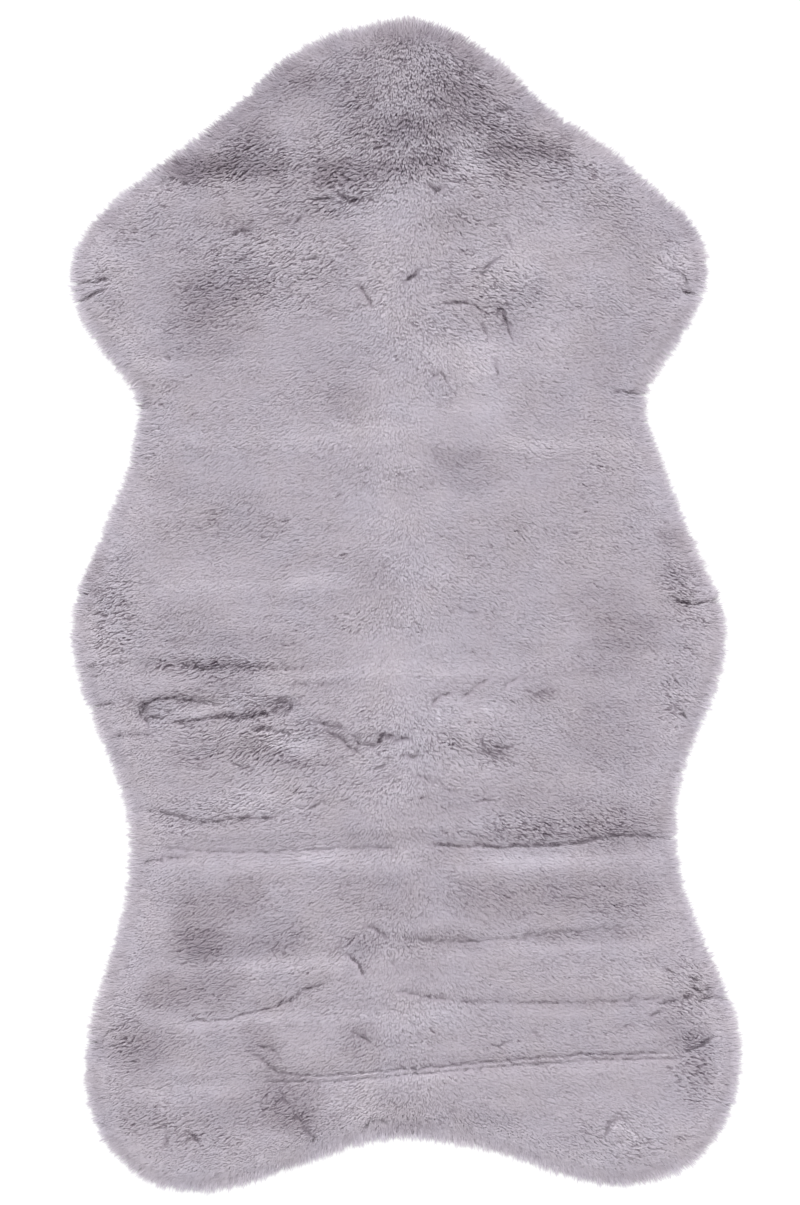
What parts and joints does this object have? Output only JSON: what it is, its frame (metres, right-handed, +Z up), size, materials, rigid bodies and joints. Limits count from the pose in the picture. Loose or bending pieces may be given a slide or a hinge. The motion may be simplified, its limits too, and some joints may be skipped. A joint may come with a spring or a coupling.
{
  "type": "faux fur rug",
  "caption": "Small faux fur rug cut in the outline of a hide, laid flat, with a soft dense lilac-grey pile, pressed creases and a tufted rim.",
  "frame": {"origin": "the middle of the rug's underside, on the surface that it lies on", "axes": "+Z up out of the pile, +Y towards the narrow head end, +X across the rug"},
  "size_m": [0.5982, 1.0496, 0.0202],
  "materials": {
    "fur": "dense soft plush pile, pale lilac grey with mauve shade in its partings, matt with a faint sheen"
  },
  "bodies": {
    "root": {"pelt": "fur"}
  },
  "joints": []
}
